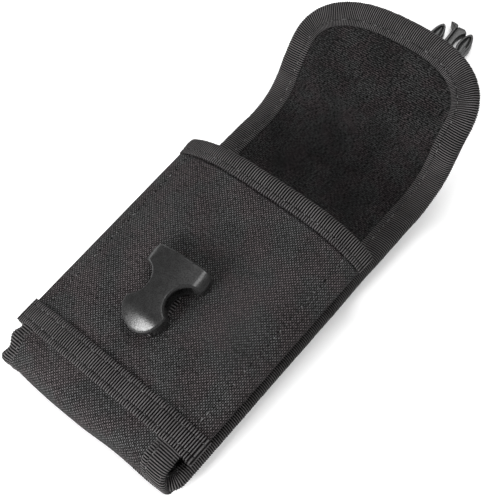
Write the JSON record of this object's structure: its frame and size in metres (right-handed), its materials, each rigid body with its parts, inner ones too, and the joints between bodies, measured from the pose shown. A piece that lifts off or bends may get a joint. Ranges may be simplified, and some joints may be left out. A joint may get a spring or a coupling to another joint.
{
  "type": "tactical phone pouch",
  "caption": "Woven belt pouch with bound edges, an open curling flap, a webbing strap and a side-release buckle, lying on its back.",
  "frame": {"origin": "middle of the belt loop's outer face, on which the pouch lies", "axes": "+X across the pouch, +Y from its bottom towards the flap, +Z away from the wearer"},
  "size_m": [0.0982, 0.2779, 0.0587],
  "materials": {
    "woven_fabric": "coarse plain weave, matt",
    "ribbed_tape": "ribbed, slight sheen",
    "lining": "short pile, matt",
    "foam": "matt foam",
    "buckle_plastic": "semi-gloss moulding",
    "thread": "dense thread"
  },
  "bodies": {
    "pouch": {"back_shell": "woven_fabric", "back_foam": "foam", "back_lining": "lining", "rim_binding": "ribbed_tape", "front_shell": "woven_fabric", "front_foam": "foam", "front_lining": "lining", "mouth_binding": "ribbed_tape", "lower_tape": "ribbed_tape", "gusset_left": "woven_fabric", "gusset_right": "woven_fabric", "gusset_binding_left": "ribbed_tape", "gusset_binding_right": "ribbed_tape", "bottom_wrap": "woven_fabric", "wrap_binding_left": "ribbed_tape", "wrap_binding_right": "ribbed_tape", "flap_strap": "ribbed_tape", "socket_loop": "ribbed_tape", "belt_loop": "ribbed_tape", "belt_loop_tacks": "thread", "strap_tacks": "thread", "socket_tack": "thread"},
    "socket": {"socket": "buckle_plastic"},
    "clip": {"clip": "buckle_plastic"}
  },
  "joints": [
    {"name": "socket_tilt", "type": "hinge", "parent": "pouch", "child": "socket", "pos_m": [-0.0025, -0.04141, 0.02813], "axis": [1, 0, 0], "range_deg": [0, 45]},
    {"name": "clip_tilt", "type": "hinge", "parent": "pouch", "child": "clip", "pos_m": [-0.0025, 0.1579, 0.0027], "axis": [1, 0, 0], "range_deg": [0, 120]}
  ]
}
